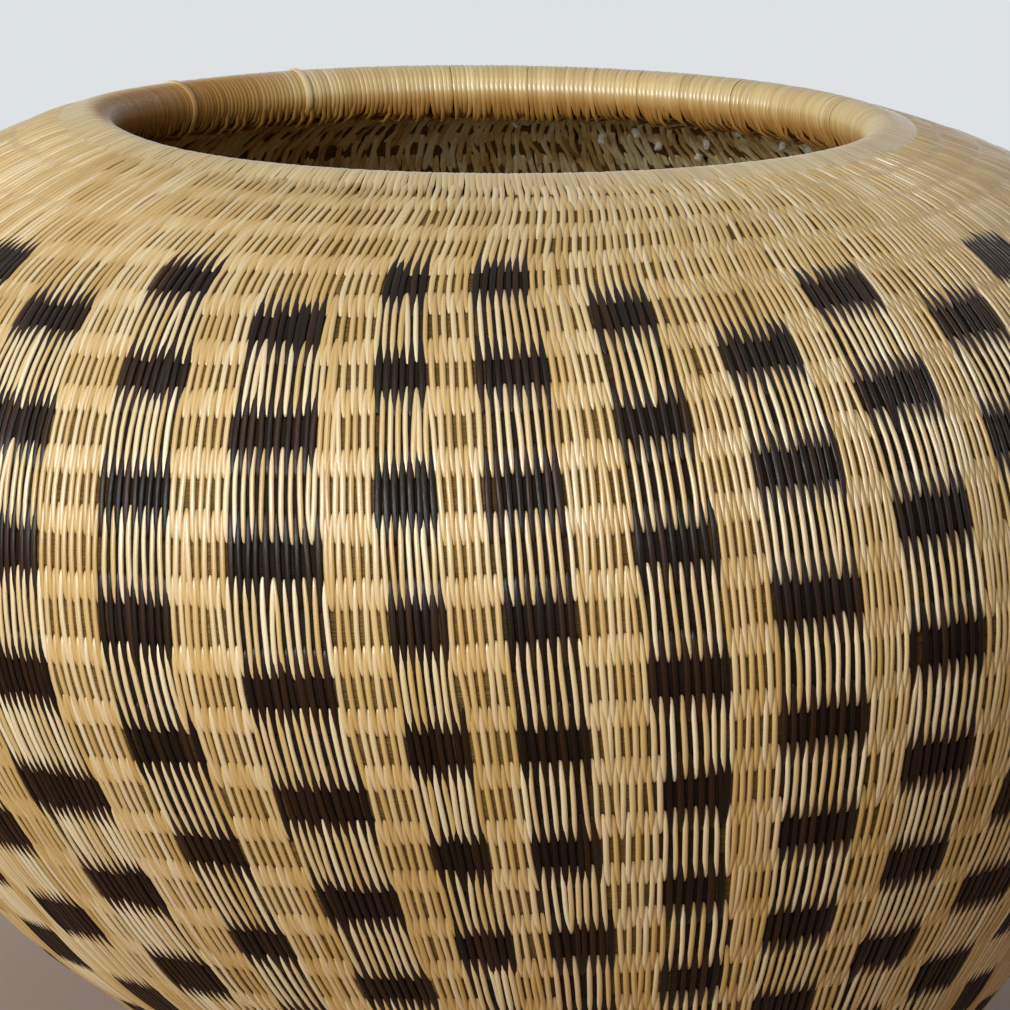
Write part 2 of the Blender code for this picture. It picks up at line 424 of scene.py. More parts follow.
@dataclass(frozen=True)
class Checker:
    """The traditional checker of columns whose every second row is sewn in black."""

    front: tuple[Column, ...] = (
        Column(-49.5, 7.2, False, 1.0),
        Column(-38.0, 7.6, True, 0.92),
        Column(-26.1, 6.0, False, 1.02),
        Column(-14.8, 7.0, True, 0.93),
        Column(-4.8, 4.5, False, 0.90),
        Column(3.9, 5.8, False, 1.02),
        Column(14.4, 5.9, True, 1.12),
        Column(24.8, 7.3, False, 1.05),
        Column(35.5, 7.0, True, 1.10),
        Column(46.6, 7.5, False, 1.12),
    )
    back_columns: int = 24
    back_widths: Floats = (7.0, 6.2, 7.4, 5.4, 6.8)
    back_spreads: Floats = (1.05, 0.95, 1.10)
    drift_per_row: float = 0.11
    drift_row: int = 6
    first_turn: float = 5.2
    last_turn: float = 23.03
    front_row: int = 23
    plain_spread: float = 0.95

    @cached_property
    def columns(self) -> tuple[Column, ...]:
        """All columns, those of the front and the ones worked on round the back."""
        start = self.front[-1].middle
        step = (360 + self.front[0].middle - start) / (self.back_columns + 1)
        made = []
        for number in range(1, self.back_columns + 1):
            middle = start + step * number
            past_back = middle > 180
            width = self.back_widths[number % len(self.back_widths)]
            spread = self.back_spreads[number % len(self.back_spreads)]
            odd_rows = (number + past_back) % 2 == 1
            made.append(Column(middle - 360 * past_back, width, odd_rows, spread))
        return (*self.front, *made)

    @cached_property
    def top_rows(self) -> Array:
        """Each column's topmost dark row, counted down from the front row."""
        rows = []
        for column in self.columns:
            row = math.ceil(self.front_row + column.middle / 360 - self.last_turn)
            rows.append(row + (row % 2 != column.odd_rows))
        return np.array(rows)

    def place(self, turns: Array) -> tuple[Array, Array]:
        """Find each place's column and row.

        Args:
            turns: Turns of the coil.

        Returns:
            The index of the column, or -1 between columns, and the row counted
            down from the front row.
        """
        middles = np.array([column.middle for column in self.columns])
        widths = np.array([column.width for column in self.columns])
        degrees = 360 * (turns[:, None] - middles / 360)
        whole = np.round(degrees / 360)
        row = self.front_row - whole
        off = degrees - 360 * whole - self.drift_per_row * (row - self.drift_row)
        nearest = np.abs(off).argmin(axis=1)
        picked = np.arange(len(turns))
        inside = np.abs(off[picked, nearest]) < widths[nearest] / 2
        return np.where(inside, nearest, -1), row[picked, nearest]

    def in_column(self, turns: Array) -> Array:
        """Say where the coil crosses a dark column.

        Args:
            turns: Turns of the coil.

        Returns:
            True inside a column, from the pattern's first turn to its topmost dark row.
        """
        column, row = self.place(turns)
        return (column >= 0) & (turns > self.first_turn) & (row >= self.top_rows[column])

    def is_dyed(self, turns: Array) -> Array:
        """Say which stitches are sewn with black strand.

        Args:
            turns: Turns of the coil at the stitches.

        Returns:
            True for the dyed ones.
        """
        column, row = self.place(turns)
        odd = np.array([entry.odd_rows for entry in self.columns])[column]
        return self.in_column(turns) & (row % 2 == odd)

    def spread(self, turns: Array) -> Array:
        """Say how widely the stitches are set, against their mean spacing.

        Args:
            turns: Turns of the coil at the stitches.

        Returns:
            1 for the mean spacing, more where they are set wider.
        """
        column, _ = self.place(turns)
        spreads = np.array([entry.spread for entry in self.columns])
        return np.where(self.in_column(turns), spreads[column], self.plain_spread)


@dataclass(frozen=True)
class StitchLattice:
    """Where the sewing strand crosses the coil, each stitch between two of the row below.

    Its patience is how many stitches the count may be off before one is added or skipped.
    """

    form: BodyForm
    checker: Checker
    knot_pitch: float = 1.75 * MM
    belly_pitch: float = 2.14 * MM
    rim_pitch: float = 1.80 * MM
    first_turn: float = 0.12
    grid_step: float = 0.0005
    patience: tuple[float, float] = (0.6, 1.4)
    relax_rounds: int = 80
    side_pull: float = 1.0
    row_pull: float = 0.6
    settle_share: float = 0.7
    seed: int = 7

    def per_turn(self, turns: Array) -> Array:
        """How many stitches a turn of the coil takes there.

        Args:
            turns: Turns of the coil.

        Returns:
            Stitches in a turn.
        """
        low, high = self.form.band(turns)
        middle = (low + high) / 2
        pitch = np.interp(
            middle,
            [0.0, self.form.belly_arc, self.form.top_arc],
            [self.knot_pitch, self.belly_pitch, self.rim_pitch],
        )
        return FULL_TURN * self.form.radius_at(middle) / pitch / self.checker.spread(turns)

    @cached_property
    def turns(self) -> Array:
        """The coil's turns at which the stitches lie, in order."""
        return self.relaxed(np.array(self.sewn()))

    def sewn(self) -> list[float]:
        """Lay each stitch over a gap of the row below, adding or skipping one where needed.

        Returns:
            The turns at which they are laid, in order.
        """
        rng = np.random.default_rng(self.seed)
        end = self.form.last_turn - self.first_turn
        grid = np.arange(self.first_turn, self.form.last_turn, self.grid_step)
        wanted = np.cumsum(self.per_turn(grid)) * self.grid_step
        first_row = int(np.interp(self.first_turn + 1, grid, wanted)) + 2
        laid = list(np.interp(np.arange(first_row), wanted - wanted[0], grid))
        gap = 0
        limit = 1.0
        while laid[-1] < end:
            over = (laid[gap] + laid[gap + 1]) / 2 + 1
            missing = float(np.interp(over, grid, wanted)) - len(laid)
            if missing > limit:
                quarter = (laid[gap + 1] - laid[gap]) / 4
                laid.extend([over - quarter, over + quarter])
            elif missing >= -limit:
                laid.append(over)
            if abs(missing) > limit:
                limit = rng.uniform(*self.patience)
            gap += 1
        return laid

    def relaxed(self, turns: Array) -> Array:
        """Even the spacing out, while rows stay in step with their neighbours.

        Args:
            turns: The stitches as they were laid.

        Returns:
            Their settled places.
        """
        for _ in range(self.relax_rounds):
            turns = np.sort(turns)
            middle = (turns[1:] + turns[:-1]) / 2
            want = self.checker.spread(middle)
            even = turns.copy()
            even[1:-1] = (turns[:-2] * want[1:] + turns[2:] * want[:-1]) / (want[1:] + want[:-1])
            pull = self.side_pull * even
            weight = np.full(len(turns), self.side_pull)
            for way in (1, -1):
                target, known = self.between(turns, way)
                pull += np.where(known, self.row_pull * target, 0.0)
                weight += np.where(known, self.row_pull, 0.0)
            settled = turns + self.settle_share * (pull / weight - turns)
            turns[1:-1] = settled[1:-1]
        return np.sort(turns)

    def between(self, turns: Array, way: int) -> tuple[Array, Array]:
        """Find the middle of the gap that each stitch's end reaches into.

        Args:
            turns: Sorted stitches.
            way: 1 for the row above, -1 for the row below.

        Returns:
            Each gap's middle, brought to the stitch's own row, and whether there is one.
        """
        right = np.searchsorted(turns, turns + way)
        known = (right > 0) & (right < len(turns))
        right = np.clip(right, 1, len(turns) - 1)
        return (turns[right] + turns[right - 1]) / 2 - way, known

    def leads(self, turns: Array, way: int) -> Array:
        """Find where each stitch's end goes.

        Args:
            turns: Sorted stitches.
            way: 1 for the row above, -1 for the row below.

        Returns:
            The middle of the gap that it reaches into, or its own place if it has none.
        """
        target, known = self.between(turns, way)
        return np.where(known, target, turns)


@dataclass(frozen=True)
class StrandSection:
    """Section of a split strand: shares of its half width across and of its thickness down."""

    across_shares: Floats = (-0.9, -1.0, -0.66, 0.0, 0.66, 1.0, 0.9)
    down_shares: Floats = (1.0, 0.55, 0.14, 0.0, 0.14, 0.55, 1.0)


@dataclass(frozen=True)
class Strands:
    """Many like strands: the crown line of each, which way is out, and their sizes.

    Apart is how far strands whose tones differ by one lie apart in the fibres' noise.
    """

    crown: Array
    outward: Array
    width: Array
    thickness: float
    tone: Array
    section: StrandSection = StrandSection()
    apart: float = 10.0

    def rings(self) -> Array:
        """Find the section points along every strand.

        Returns:
            Points, by strand, station, section point and axis.
        """
        side = unit(np.cross(np.gradient(self.crown, axis=1), self.outward))
        across = np.array(self.section.across_shares)[:, None]
        down = np.array(self.section.down_shares)[:, None] * self.thickness
        half = (self.width / 2)[:, :, None, None]
        offset = side[:, :, None, :] * across * half
        return self.crown[:, :, None, :] + offset - self.outward[:, :, None, :] * down

    def grain(self) -> Array:
        """Find coordinates in millimetres that run with the fibres.

        Returns:
            Across, along and a number that tells strands apart, for each section point.
        """
        steps = np.linalg.norm(np.diff(self.crown, axis=1), axis=-1)
        along = np.pad(np.cumsum(steps, axis=1), ((0, 0), (1, 0)))[:, :, None]
        across = np.array(self.section.across_shares) * self.width[:, :, None] / 2
        number = self.apart * self.tone[:, None, None]
        return np.stack(np.broadcast_arrays(across / MM, along / MM, number), axis=-1)

    def piece(self, name: str, **numbers: Array) -> bpy.types.Object:
        """Make one object of the strands.

        Args:
            name: The object's name.
            numbers: Values for the shader beside the tone, by strand and station.

        Returns:
            The object.
        """
        shape = (*self.width.shape, len(self.section.across_shares))
        named = {
            label: np.broadcast_to(values[:, :, None], shape)
            for label, values in {"tone": self.tone[:, None], **numbers}.items()
        }
        return loft(name, self.rings(), named, self.grain())


def loft(name: str, rings: Array, numbers: Mapping[str, Array], grain: Array) -> bpy.types.Object:
    """Skin rows of section rings into closed bodies.

    Args:
        name: Name of the new object.
        rings: Points, by body, station, section point and axis.
        numbers: Named values for the shader, one for each point.
        grain: Named fibre coordinates, three for each point.

    Returns:
        The new object, shaded smooth, in the scene.
    """
    bodies, stations, sides, _ = rings.shape
    index = np.arange(bodies * stations * sides).reshape(bodies, stations, sides)
    near = index[:, :-1, :]
    far = index[:, 1:, :]
    quads = np.stack([near, np.roll(near, -1, 2), np.roll(far, -1, 2), far], axis=-1)
    quads = quads.reshape(-1, 4)
    first = index[:, 0, ::-1].reshape(-1, sides)
    last = index[:, -1, :].reshape(-1, sides)
    points = rings.reshape(-1, 3)
    corner = points[quads]
    cross = np.cross(corner[:, 1] - corner[:, 0], corner[:, 3] - corner[:, 0])
    ring_middle = rings[:, :-1].mean(axis=2).reshape(-1, 3).repeat(sides, axis=0)
    inside_out = np.sum(cross * (corner[:, 0] - ring_middle)) < 0
    if inside_out:
        quads = quads[:, ::-1]
        first = first[:, ::-1]
        last = last[:, ::-1]
    loops = np.concatenate([quads.ravel(), first.ravel(), last.ravel()])
    starts = np.concatenate(
        [np.arange(len(quads)) * 4, len(quads) * 4 + np.arange(2 * bodies) * sides]
    )
    mesh = bpy.data.meshes.new(name)
    mesh.vertices.add(len(points))
    mesh.vertices.foreach_set("co", points.astype(np.float32).ravel())
    mesh.loops.add(len(loops))
    mesh.loops.foreach_set("vertex_index", loops.astype(np.int32))
    mesh.polygons.add(len(starts))
    mesh.polygons.foreach_set("loop_start", starts.astype(np.int32))
    mesh.update(calc_edges=True)
    for label, values in numbers.items():
        layer = mesh.attributes.new(label, "FLOAT", "POINT")
        layer.data.foreach_set("value", np.ascontiguousarray(values, np.float32).ravel())
    layer = mesh.attributes.new("grain", "FLOAT_VECTOR", "POINT")
    layer.data.foreach_set("vector", np.ascontiguousarray(grain, np.float32).ravel())
    mesh.shade_smooth()
    mesh.set_sharp_from_angle(angle=SHARP_EDGE)
    return show(name, mesh)


class Wire:
    """A socket of a shader, whose sums and products add Math nodes."""

    def __init__(self, tree: bpy.types.NodeTree, socket: bpy.types.NodeSocket) -> None:
        """Hold a socket of a tree."""
        self.tree = tree
        self.socket = socket

    def math(self, operation: str, first: "Wire | float", second: "Wire | float") -> "Wire":
        """Add a Math node.

        Args:
            operation: The node's operation.
            first: Its first value.
            second: Its second value.

        Returns:
            The node's result.
        """
        node = self.tree.nodes.new("ShaderNodeMath")
        node.operation = operation
        for entry, value in zip(node.inputs, (first, second)):
            if isinstance(value, Wire):
                self.tree.links.new(value.socket, entry)
            else:
                entry.default_value = value
        return Wire(self.tree, node.outputs[0])

    def __add__(self, other: "Wire | float") -> "Wire":
        """Add."""
        return self.math("ADD", self, other)

    __radd__ = __add__

    def __sub__(self, other: "Wire | float") -> "Wire":
        """Subtract."""
        return self.math("SUBTRACT", self, other)

    def __rsub__(self, other: "Wire | float") -> "Wire":
        """Subtract from a number."""
        return self.math("SUBTRACT", other, self)

    def __mul__(self, other: "Wire | float") -> "Wire":
        """Multiply."""
        return self.math("MULTIPLY", self, other)

    __rmul__ = __mul__


class Nodes:
    """A tree of nodes while it is put together."""

    def __init__(self, owner: "bpy.types.Material | bpy.types.World") -> None:
        """Take over a tree, emptied.

        Args:
            owner: The material or world that the tree belongs to.
        """
        owner.use_nodes = True
        self.tree = owner.node_tree
        self.tree.nodes.clear()

    def node(
        self,
        kind: str,
        settings: Mapping[str, object] | None = None,
        sockets: Mapping[str | int, object] | None = None,
        output: str | int = 0,
    ) -> Wire:
        """Add a node of any kind.

        Args:
            kind: The node's type.
            settings: Its settings, and under stops a ramp's places and colours.
            sockets: Values or wires for its inputs, by name or number.
            output: Which of its outputs to hand back.

        Returns:
            That output, or the first entry of a node that has no output.
        """
        made = self.tree.nodes.new(kind)
        for label, value in (settings or {}).items():
            if label == "stops":
                self.set_stops(made.color_ramp, value)
            else:
                setattr(made, label, value)
        for label, value in (sockets or {}).items():
            if isinstance(value, Wire):
                self.tree.links.new(value.socket, made.inputs[label])
            else:
                made.inputs[label].default_value = value
        return Wire(self.tree, made.outputs[output] if made.outputs else made.inputs[0])

    @staticmethod
    def set_stops(ramp: bpy.types.ColorRamp, stops: Stops) -> None:
        """Give a ramp its stops.

        Args:
            ramp: The ramp.
            stops: Places from 0 to 1 with their colours, at least two.
        """
        while len(ramp.elements) < len(stops):
            ramp.elements.new(1.0)
        for element, (place, colour) in zip(ramp.elements, stops):
            element.position = place
            element.color = (*colour, 1.0)


class Shader(Nodes):
    """A material while it is put together."""

    def __init__(self, name: str) -> None:
        """Start a material."""
        self.material = bpy.data.materials.new(name)
        super().__init__(self.material)

    def number(self, label: str) -> Wire:
        """Read a named value of the mesh."""
        return self.node("ShaderNodeAttribute", {"attribute_name": label}, output="Fac")

    def stretched_noise(self, across: float, along: float, detail: float = 2.0) -> Wire:
        """Noise drawn out along the fibres.

        Args:
            across: Cells in a millimetre across the fibres.
            along: Cells in a millimetre along them.
            detail: The noise's octaves.

        Returns:
            Values about one half.
        """
        grain = self.node("ShaderNodeAttribute", {"attribute_name": "grain"}, output="Vector")
        scaled = self.node(
            "ShaderNodeVectorMath",
            {"operation": "MULTIPLY"},
            {0: grain, 1: (across, along, 1.0)},
        )
        return self.node("ShaderNodeTexNoise", {}, {"Vector": scaled, "Scale": 1.0, "Detail": detail})

    def patches(self, scale: float, detail: float = 2.0) -> Wire:
        """Soft patches over the whole object.

        Args:
            scale: Cells in a metre.
            detail: The noise's octaves.

        Returns:
            Values about one half.
        """
        place = self.node("ShaderNodeTexCoord", {}, {}, "Object")
        return self.node("ShaderNodeTexNoise", {}, {"Vector": place, "Scale": scale, "Detail": detail})

    def ramp(self, value: Wire, stops: Stops) -> Wire:
        """Colour by a value.

        Args:
            value: The value.
            stops: Places from 0 to 1 with their colours.

        Returns:
            The colour.
        """
        return self.node("ShaderNodeValToRGB", {"stops": stops}, {0: value})

    def blend(self, share: Wire | float, low: object, high: object, mode: str = "MIX") -> Wire:
        """Blend two colours.

        Args:
            share: How much of the second.
            low: The first colour or wire.
            high: The second colour or wire.
            mode: How they blend.

        Returns:
            The colour.
        """
        pair = [value if isinstance(value, Wire) else (*value, 1.0) for value in (low, high)]
        # The node's colours are its inputs 6 and 7 and its output 2.
        return self.node(
            "ShaderNodeMix",
            {"data_type": "RGBA", "blend_type": mode},
            {0: share, 6: pair[0], 7: pair[1]},
            2,
        )

    def finish(self, colour: Wire, roughness: object, relief: Wire | None, **fixed: object) -> None:
        """Close the tree with its shader.

        Args:
            colour: Base colour.
            roughness: Roughness, a number or a wire.
            relief: Height in millimetres for the bump, if any.
            fixed: Other sockets of the shader, words joined by underscores.
        """
        sockets: dict[str | int, object] = {"Base Color": colour, "Roughness": roughness}
        if relief is not None:
            bump = {"Height": relief, "Distance": MM, "Strength": BUMP_STRENGTH}
            sockets["Normal"] = self.node("ShaderNodeBump", {}, bump)
        for label, value in fixed.items():
            sockets[label.replace("_", " ")] = value
        shader = self.node("ShaderNodeBsdfPrincipled", {}, sockets)
        self.node("ShaderNodeOutputMaterial", {}, {"Surface": shader})


@dataclass(frozen=True)
class PalmFinish:
    """Palm whose colour runs along its stops by tone, fibre lines and soft patches.

    Fibre lines are given by their cells in a millimetre across and along, and octaves,
    and patches by their cells in a metre, and octaves. The shares say how far each moves
    the colour from its start. Roughness swings with the fibre lines, and relief is their
    height in millimetres.
    """

    name: str
    stops: Stops
    fibre: tuple[float, float, float]
    fibre_share: float
    roughness: float
    relief: float
    gloss: float
    start: float = 0.0
    tone_share: float = 0.0
    patch: tuple[float, float] = (1.0, 0.0)
    patch_share: float = 0.0
    roughness_swing: float = 0.0

    def material(self) -> bpy.types.Material:
        """Build the material.

        Returns:
            The material.
        """
        shader = Shader(self.name)
        lines = shader.stretched_noise(*self.fibre)
        value = lines * self.fibre_share + self.start
        if self.tone_share:
            value = value + shader.number("tone") * self.tone_share
        if self.patch_share:
            value = value + shader.patches(*self.patch) * self.patch_share
        colour = self.worn_dyed_and_shaded(shader, shader.ramp(value, self.stops))
        roughness = self.roughness
        if self.roughness_swing:
            roughness = (lines - 0.5) * self.roughness_swing + roughness
        coat = self.coat(shader)
        shader.finish(colour, roughness, lines * self.relief, Specular_IOR_Level=self.gloss, **coat)
        return shader.material

    def worn_dyed_and_shaded(self, shader: Shader, colour: Wire) -> Wire:
        """Change the colour, in the finishes that darken it: wear patches on the straw, dye and
        painted shade in the fibre, painted shade on the rim.
        """
        return colour

    def coat(self, shader: Shader) -> dict[str, object]:
        """List the coat's sockets, in the finishes that have one."""
        return {}


@dataclass(frozen=True)
class StrawFinish(PalmFinish):
    """Undyed palm strand: pale straw, a little glossy, with fine fibre lines."""

    name: str = "straw"
    stops: Stops = (
        (0.0, (0.44, 0.27, 0.075)),
        (0.45, (0.62, 0.410, 0.145)),
        (1.0, (0.90, 0.78, 0.55)),
    )
    fibre: tuple[float, float, float] = (5.0, 0.12, 2.0)
    fibre_share: float = 0.35
    tone_share: float = 0.60
    patch: tuple[float, float] = (14.0, 2.0)
    patch_share: float = 0.25
    start: float = -0.09
    roughness: float = 0.33
    roughness_swing: float = 0.22
    relief: float = 0.10
    gloss: float = 1.0
    age: Colour = (0.80, 0.66, 0.44)
    age_patch: tuple[float, float] = (5.0, 3.0)
    age_share: float = 0.6

    def worn_dyed_and_shaded(self, shader: Shader, colour: Wire) -> Wire:
        """Darken the colour in broad patches."""
        wear_and_painted_light = shader.patches(*self.age_patch) * self.age_share
        return shader.blend(wear_and_painted_light, colour, self.age, "MULTIPLY")


@dataclass(frozen=True)
class LiningFinish(PalmFinish):
    """The same strand on the unseen face, duller and rough, with painted light: browner, brighter
    colours for light bounced round inside, and wide tones for lit tops and shaded gaps.
    """

    name: str = "lining"
    # Painted light: brighter and warmer than the straw's stops, for the light bounced round inside the
    # basket.
    stops: Stops = (
        (0.0, (0.32, 0.175, 0.05)),
        (0.5, (0.78, 0.51, 0.19)),
        (1.0, (1.0, 0.85, 0.50)),
    )
    fibre: tuple[float, float, float] = (2.2, 0.35, 4.0)
    fibre_share: float = 0.7
    # Wide tone and patch shares paint grazing-lit tops and shaded gaps.
    tone_share: float = 1.2
    patch: tuple[float, float] = (90.0, 3.0)
    patch_share: float = 1.2
    start: float = -0.92
    roughness: float = 0.34
    relief: float = 0.8
    gloss: float = 0.5


@dataclass(frozen=True)
class DyedFinish(PalmFinish):
    """Palm strand dyed black, with a cool sheen and a few browner strands."""

    name: str = "dyed"
    stops: Stops = ((0.6, (0.009, 0.0036, 0.0012)), (1.0, (0.030, 0.012, 0.004)))
    fibre: tuple[float, float, float] = (5.0, 0.15, 2.0)
    fibre_share: float = 0.3
    tone_share: float = 0.8
    start: float = -0.1
    roughness: float = 0.295
    roughness_swing: float = 0.25
    relief: float = 0.12
    gloss: float = 0.22


@dataclass(frozen=True)
class FibreFinish(PalmFinish):
    """The bundle inside the coil: brown split fibre, kept darker as painted shade in the gaps between
    strands, blackened by dye in the columns, and near black as painted shade under the rim and in the
    rim's winding.
    """

    name: str = "fibre"
    # Brown fibre, partly painted shade: kept darker so that the gaps between the strands look shaded.
    stops: Stops = ((0.15, (0.062, 0.031, 0.008)), (0.85, (0.22, 0.125, 0.032)))
    fibre: tuple[float, float, float] = (2.6, 0.07, 3.0)
    fibre_share: float = 1.5
    patch: tuple[float, float] = (40.0, 2.0)
    patch_share: float = 0.5
    start: float = -0.5
    roughness: float = 0.72
    relief: float = 0.5
    gloss: float = 0.15
    # Near black: the dye of the columns, and also the painted shade under the rim and in the rim's
    # winding.
    dyed: Colour = (0.010, 0.005, 0.002)

    def worn_dyed_and_shaded(self, shader: Shader, colour: Wire) -> Wire:
        """Blacken the colour where the mesh says so: by dye in the columns, by painted shade under the
        rim and in the rim's winding.
        """
        return shader.blend(shader.number("stain"), colour, self.dyed)


@dataclass(frozen=True)
class RimFinish(PalmFinish):
    """The rim's closely wound strand, polished by hands; a painted shade makes it browner where it
    turns under the roll and on the inner face of the left side.
    """

    name: str = "rim"
    stops: Stops = (
        (0.0, (0.42, 0.26, 0.085)),
        (0.5, (0.63, 0.43, 0.165)),
        (1.0, (0.87, 0.69, 0.38)),
    )
    fibre: tuple[float, float, float] = (5.0, 0.10, 2.0)
    fibre_share: float = 0.35
    tone_share: float = 0.65
    patch: tuple[float, float] = (22.0, 3.0)
    patch_share: float = 0.4
    start: float = -0.2
    roughness: float = 0.25
    roughness_swing: float = 0.2
    relief: float = 0.08
    gloss: float = 0.05
    # Painted shade: the colour multiplied in on the roll's underside and the left side's inner face.
    painted_shade_colour: Colour = (0.72, 0.48, 0.27)
    coat_roughness: float = 0.32
    coat_ior: float = 1.78

    def worn_dyed_and_shaded(self, shader: Shader, colour: Wire) -> Wire:
        """Darken the colour by the painted shade that the mesh carries."""
        return shader.blend(shader.number("age"), colour, self.painted_shade_colour, "MULTIPLY")

    def coat(self, shader: Shader) -> dict[str, object]:
        """List the sockets of the polish, which fades where shade is painted."""
        polish = {"Coat_Roughness": self.coat_roughness, "Coat_IOR": self.coat_ior}
        return {"Coat_Weight": 1 - shader.number("age"), **polish}


@dataclass(frozen=True)
class CutFinish(PalmFinish):
    """Freshly cut ends of strand: the palest palm there is."""

    name: str = "cut"
    stops: Stops = ((0.3, (0.90, 0.82, 0.62)), (0.7, (1.0, 0.97, 0.88)))
    fibre: tuple[float, float, float] = (4.0, 1.0, 2.0)
    fibre_share: float = 1.0
    roughness: float = 0.35
    relief: float = 0.2
    gloss: float = 0.6


def attach(
    piece: bpy.types.Object, material: bpy.types.Material, nodes: Sequence[str]
) -> None:
    """Dress a finished piece and tie it to the frame.

    Args:
        piece: The piece.
        material: Its material.
        nodes: Frame nodes that it stands for.
    """
    piece.data.materials.append(material)
    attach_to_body(piece, "root")
    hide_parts(*nodes)
    LOG.info("%s: %d faces", piece.name, len(piece.data.polygons))


@dataclass(frozen=True)
class CoilLength:
    """One spliced length of the coil: its node's name, and where it starts and stops."""

    node: str
    first: float
    last: float


@dataclass(frozen=True)
class CoilPlan:
    """How the coil is spliced from lengths, as in the frame."""

    form: BodyForm
    stations_per_turn: int = 36
    stations_per_length: int = 34
    first_station: int = 3
    last_station: int = 952
    turns_on_base: int = 3

    def lengths(self) -> list[CoilLength]:
        """List the lengths from the knot to the rim.

        Returns:
            The lengths, named as their nodes are.
        """
        made = []
        numbers = {"base": 0, "wall": 0, "shoulder": 0}
        first = self.first_station
        while first < self.last_station:
            last = min(first + self.stations_per_length, self.last_station)
            middle = (first + last) / 2 / self.stations_per_turn
            if middle < self.turns_on_base:
                zone = "base"
            else:
                zone = "wall" if middle < self.form.turns_below_belly else "shoulder"
            numbers[zone] += 1
            node = f"{zone}_coil_{numbers[zone]:02d}"
            made.append(
                CoilLength(node, first / self.stations_per_turn, last / self.stations_per_turn)
            )
            first = last
        return made


@dataclass(frozen=True)
class Bundle:
    """The fibre bundle that each length of the coil holds."""

    form: BodyForm
    checker: Checker
    cover: float = 0.66 * MM
    belly_power: float = 2.6
    sides: int = 14
    steps_per_turn: int = 180
    # Painted shade under the rim: over how many rows, and how strongly.
    rim_shade_rows: float = 2.2
    rim_shade_strength: float = 0.6

    def build(self, length: CoilLength) -> bpy.types.Object:
        """Sweep the bundle along one length.

        Args:
            length: The length.

        Returns:
            The bundle.
        """
        steps = max(2, round((length.last - length.first) * self.steps_per_turn))
        turns = np.linspace(length.first, length.last, steps + 1)
        turn = turns[:, None]
        low, high = self.form.band(turn)
        middle = (low + high) / 2
        around = np.linspace(0, FULL_TURN, self.sides, endpoint=False)
        across, down = (
            np.sign(wave) * np.abs(wave) ** (2 / self.belly_power)
            for wave in (np.cos(around), np.sin(around))
        )
        half_wall = self.form.wall_thickness / 2
        arc = middle + (high - low) / 2 * across
        depth = half_wall - (half_wall - self.cover) * down
        rings, _ = self.form.face(FULL_TURN * turn, arc, depth)
        outer_half = smoothstep(2 - depth / half_wall)
        near_rim = smoothstep(2 * (turn - self.form.last_turn + self.rim_shade_rows))
        in_column = self.checker.in_column(turns)[:, None]
        # Dye blackens the bundle's outer half in the columns; painted shade darkens its inner half
        # under the rim.
        stain = np.maximum(
            in_column * outer_half, self.rim_shade_strength * near_rim * (1 - outer_half)
        )
        along = FULL_TURN * turn * self.form.radius_at(middle)
        grain = np.stack(np.broadcast_arrays(arc, along, depth), axis=-1) / MM
        return loft(f"bundle_{length.node}", rings[None], {"stain": stain[None]}, grain[None])


